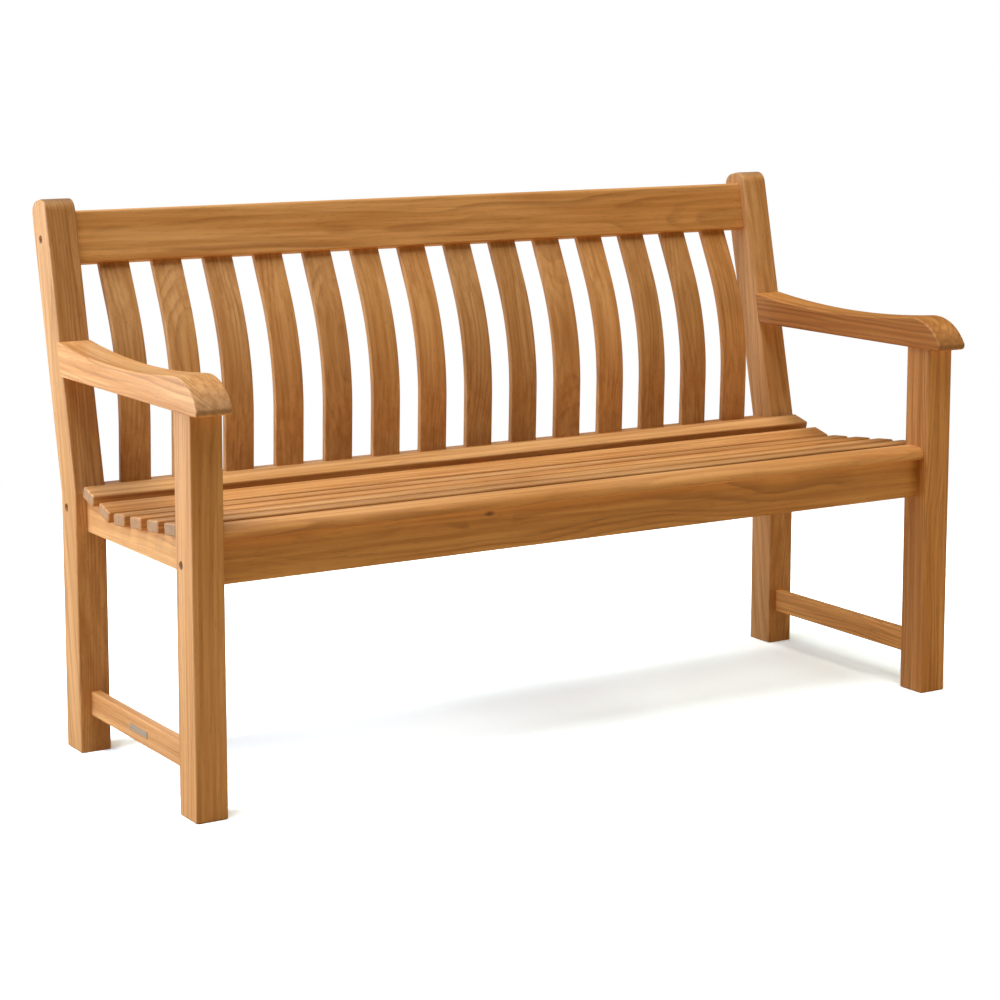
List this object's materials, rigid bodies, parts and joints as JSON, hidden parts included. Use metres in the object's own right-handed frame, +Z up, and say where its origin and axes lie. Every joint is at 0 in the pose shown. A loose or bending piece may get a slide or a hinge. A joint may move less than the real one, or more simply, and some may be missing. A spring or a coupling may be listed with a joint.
{
  "type": "garden bench",
  "caption": "Wooden garden bench with curved back slats, a dished slatted seat, flat-bottomed scrolled arms and raked, round-topped back legs.",
  "frame": {"origin": "on the ground, under the middle of the bench's box", "axes": "+X along the bench, -Y towards the person sitting down (the front), +Z up"},
  "size_m": [1.527, 0.6476, 0.9299],
  "materials": {
    "frame_wood": "sanded, oiled hardwood",
    "slat_wood": "sanded, oiled hardwood",
    "dowel_wood": "plain",
    "steel": "zinc plated",
    "plate": "satin"
  },
  "bodies": {
    "root": {"arm_dowels": "dowel_wood", "arm_left": "frame_wood", "arm_right": "frame_wood", "back_leg_left": "frame_wood", "back_leg_right": "frame_wood", "back_slat_01": "slat_wood", "back_slat_02": "slat_wood", "back_slat_03": "slat_wood", "back_slat_04": "slat_wood", "back_slat_05": "slat_wood", "back_slat_06": "slat_wood", "back_slat_07": "slat_wood", "back_slat_08": "slat_wood", "back_slat_09": "slat_wood", "back_slat_10": "slat_wood", "back_slat_11": "slat_wood", "back_slat_12": "slat_wood", "back_slat_13": "slat_wood", "back_slat_14": "slat_wood", "barrel_nuts": "steel", "blank_plate": "plate", "frame_bolts": "steel", "front_apron": "frame_wood", "front_leg_left": "frame_wood", "front_leg_right": "frame_wood", "low_back_rail": "frame_wood", "middle_bearer": "frame_wood", "nose_dowels": "dowel_wood", "plate_pins": "steel", "rail_dowels": "dowel_wood", "seat_front_strip": "slat_wood", "seat_screws": "steel", "seat_slat_1": "slat_wood", "seat_slat_2": "slat_wood", "seat_slat_3": "slat_wood", "seat_slat_4": "slat_wood", "seat_slat_5": "slat_wood", "seat_slat_6": "slat_wood", "side_rail_left": "frame_wood", "side_rail_right": "frame_wood", "side_stretcher_left": "frame_wood", "side_stretcher_right": "frame_wood", "top_back_rail": "frame_wood"}
  },
  "joints": []
}
